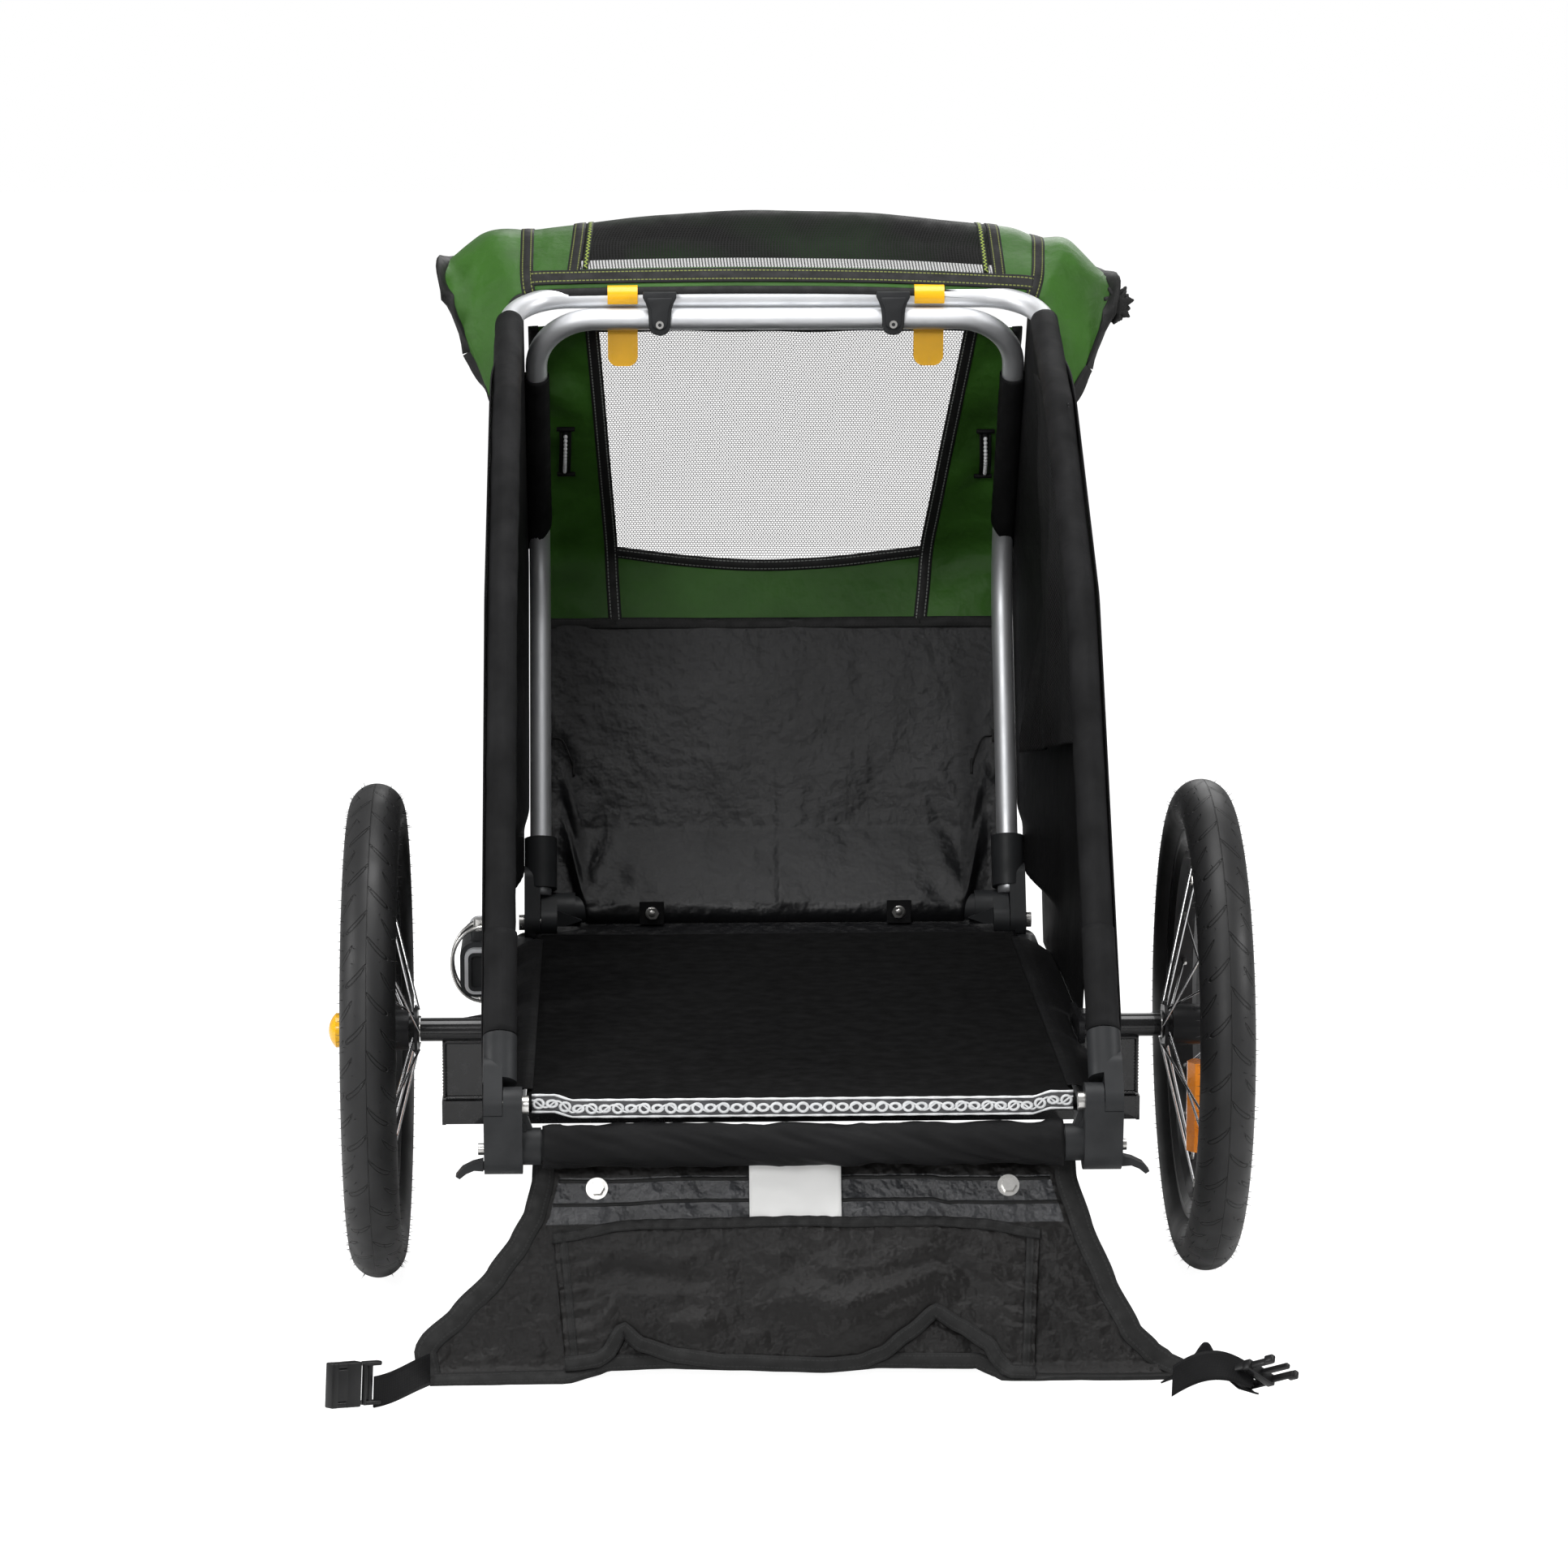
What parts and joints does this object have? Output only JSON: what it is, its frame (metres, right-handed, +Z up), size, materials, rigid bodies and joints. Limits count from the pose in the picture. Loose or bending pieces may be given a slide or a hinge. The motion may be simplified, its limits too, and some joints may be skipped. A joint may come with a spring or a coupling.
{
  "type": "two-wheeled bicycle trailer",
  "caption": "Folding bicycle trailer for a pet or cargo: push-button wheels, flat floor, hoop frame with fabric cabin, thrown-back rear cover, lowered rear gate and side tow receiver.",
  "frame": {"origin": "on the ground, under the middle of the trailer's overall box", "axes": "+X to the trailer's right, +Y forward, +Z up; the tow receiver is on the left, and the pictured rear faces -Y"},
  "size_m": [0.748, 1.0382, 0.8217],
  "materials": {
    "tyre": "satin black rubber with a moulded tread",
    "tube_rubber": "matt",
    "rim_black": "satin black anodised",
    "spoke_steel": "bright drawn wire",
    "frame_black": "gloss black powder coat",
    "black_plastic": "fine moulded grain",
    "gloss_black_plastic": "polished",
    "yellow_plastic": "polished",
    "amber_reflector": "prismatic",
    "tube_aluminium": "satin anodised",
    "zinc_steel": "zinc plated",
    "board_black": "grained",
    "mat_felt": "needle felt",
    "black_fabric": "woven nylon, coated inside",
    "green_fabric": "coated nylon taffeta",
    "black_webbing": "woven webbing"
  },
  "bodies": {
    "base": {"left_stub_axle": "zinc_steel", "right_stub_axle": "zinc_steel", "left_axle_bracket": "frame_black", "right_axle_bracket": "frame_black", "left_side_rail": "tube_aluminium", "right_side_rail": "tube_aluminium", "left_rear_knuckle": "black_plastic", "right_rear_knuckle": "black_plastic", "left_front_knuckle": "black_plastic", "right_front_knuckle": "black_plastic", "left_side_wall": "black_fabric", "right_side_wall": "black_fabric", "axle_cross_tube": "frame_black", "front_cross_tube": "tube_aluminium", "rear_cross_tube": "tube_aluminium", "pivot_pins": "zinc_steel", "frame_bolts": "zinc_steel", "floor_board": "board_black", "floor_mat": "mat_felt", "rear_hem": "black_fabric", "tow_receiver": "tube_aluminium", "receiver_plug": "black_plastic", "receiver_bracket": "black_plastic", "hitch_pin": "zinc_steel"},
    "left_wheel": {"left_tyre": "tyre", "left_inner_tube": "tube_rubber", "left_rim": "rim_black", "left_spokes": "spoke_steel", "left_hub": "rim_black", "left_reflector": "amber_reflector"},
    "left_button": {"left_button": "yellow_plastic"},
    "left_plunger": {"left_release_plunger": "black_plastic"},
    "left_latch": {"left_latch": "yellow_plastic"},
    "left_strap": {"left_strap": "black_webbing", "left_buckle": "gloss_black_plastic"},
    "right_wheel": {"right_tyre": "tyre", "right_inner_tube": "tube_rubber", "right_rim": "rim_black", "right_spokes": "spoke_steel", "right_hub": "rim_black", "right_reflector": "amber_reflector"},
    "right_button": {"right_button": "yellow_plastic"},
    "right_plunger": {"right_release_plunger": "black_plastic"},
    "right_latch": {"right_latch": "yellow_plastic"},
    "right_strap": {"right_strap": "black_webbing", "right_buckle": "gloss_black_plastic"},
    "rear_hoop": {"rear_hoop": "tube_aluminium", "left_hoop_socket": "black_plastic", "right_hoop_socket": "black_plastic", "left_hoop_sleeve": "black_fabric", "right_hoop_sleeve": "black_fabric", "rear_cover": "green_fabric"},
    "front_hoop": {"front_hoop": "tube_aluminium", "left_front_socket": "black_plastic", "right_front_socket": "black_plastic", "front_panel": "green_fabric", "saddles": "black_plastic"},
    "gate": {"rear_gate": "black_fabric", "gate_bolts": "zinc_steel"},
    "bail": {"pin_bail": "zinc_steel"}
  },
  "joints": [
    {"name": "left_wheel_spin", "type": "hinge", "parent": "base", "child": "left_wheel", "pos_m": [-0.334, -0.10038, 0.2], "axis": [1, 0, 0], "continuous": true},
    {"name": "right_wheel_spin", "type": "hinge", "parent": "base", "child": "right_wheel", "pos_m": [0.334, -0.10038, 0.2], "axis": [1, 0, 0], "continuous": true},
    {"name": "front_fold", "type": "hinge", "parent": "base", "child": "front_hoop", "pos_m": [0, 0.31062, 0.204], "axis": [1, 0, 0], "range_deg": [0, 80]},
    {"name": "rear_fold", "type": "hinge", "parent": "base", "child": "rear_hoop", "pos_m": [0, -0.37438, 0.203], "axis": [1, 0, 0], "range_deg": [-36.8, 0], "deforming": ["left_side_wall", "right_side_wall"]},
    {"name": "left_button_push", "type": "slide", "parent": "base", "child": "left_button", "axis": [1, 0, 0], "range_m": [0, 0.004], "stiffness_N_per_m": 800},
    {"name": "left_plunger_pull", "type": "slide", "parent": "base", "child": "left_plunger", "axis": [-1, 0, 0], "range_m": [0, 0.006], "stiffness_N_per_m": 500},
    {"name": "left_latch_swing", "type": "hinge", "parent": "rear_hoop", "child": "left_latch", "pos_m": [-0.133, 0.29472, 0.75977], "axis": [1, 0, 0], "range_deg": [0, 14]},
    {"name": "right_button_push", "type": "slide", "parent": "base", "child": "right_button", "axis": [-1, 0, 0], "range_m": [0, 0.004], "stiffness_N_per_m": 800},
    {"name": "right_plunger_pull", "type": "slide", "parent": "base", "child": "right_plunger", "axis": [1, 0, 0], "range_m": [0, 0.006], "stiffness_N_per_m": 500},
    {"name": "right_latch_swing", "type": "hinge", "parent": "rear_hoop", "child": "right_latch", "pos_m": [0.133, 0.29472, 0.75977], "axis": [1, 0, 0], "range_deg": [0, 14]},
    {"name": "gate_fold", "type": "hinge", "parent": "base", "child": "gate", "pos_m": [0, -0.36238, 0.168], "axis": [-1, 0, 0], "range_deg": [0, 165]},
    {"name": "left_strap_swing", "type": "hinge", "parent": "gate", "child": "left_strap", "pos_m": [-0.2625, -0.43085, 0], "axis": [0, 0, 1], "range_deg": [0, 50]},
    {"name": "right_strap_swing", "type": "hinge", "parent": "gate", "child": "right_strap", "pos_m": [0.2625, -0.43085, 0], "axis": [0, 0, 1], "range_deg": [-50, 0]},
    {"name": "bail_swing", "type": "hinge", "parent": "base", "child": "bail", "pos_m": [-0.253, 0.02362, 0.2615], "axis": [0, 1, 0], "range_deg": [0, 90]}
  ],
  "couplings": [
    {"joint": "rear_fold", "follows": "front_fold", "ratio": -0.46},
    {"joint": "right_strap_swing", "follows": "gate_fold", "ratio": -0.303},
    {"joint": "left_strap_swing", "follows": "gate_fold", "ratio": 0.303}
  ]
}
